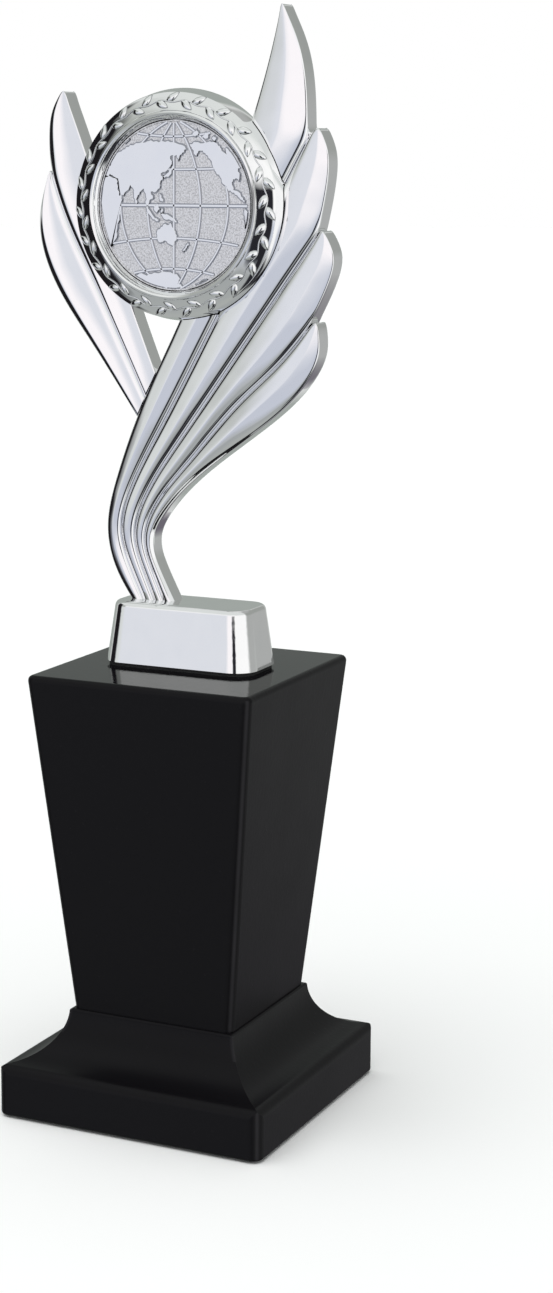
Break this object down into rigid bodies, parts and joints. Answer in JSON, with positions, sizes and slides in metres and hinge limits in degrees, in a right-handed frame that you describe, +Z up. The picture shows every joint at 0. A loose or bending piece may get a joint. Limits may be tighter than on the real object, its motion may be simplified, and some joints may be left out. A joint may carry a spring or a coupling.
{
  "type": "figure trophy",
  "caption": "Trophy of two plated wings round a laurel medallion with a globe disc, on a tapered black wooden column and a moulded square plinth.",
  "frame": {"origin": "middle of the felt pad's underside, where the trophy rests", "axes": "+Z up, the medallion faces -Y, the tall wing is on +X"},
  "size_m": [0.0817, 0.074, 0.28],
  "materials": {
    "plated_silver": "bright polished plating on cast zinc alloy",
    "struck_silver": "fine sandblasted ground with polished raised lines",
    "steel": "zinc-plated",
    "foam": "matt closed-cell foam",
    "black_lacquer": "satin black lacquer",
    "beech": "bare",
    "felt": "matt felt"
  },
  "bodies": {
    "root": {"right_wing": "plated_silver", "left_wing": "plated_silver", "medallion_ring": "plated_silver", "globe_disc": "struck_silver", "disc_tape": "foam", "ring_screws": "steel", "left_wing_screws": "steel", "stem_screws": "steel", "figure_block": "plated_silver", "block_gasket": "foam", "locating_pins": "steel", "column": "black_lacquer", "plinth": "black_lacquer", "column_dowels": "beech", "plinth_screws": "steel", "tie_rod": "steel", "plain_washer": "steel", "spring_washer": "steel", "tie_nut": "steel", "felt_pad": "felt"}
  },
  "joints": []
}
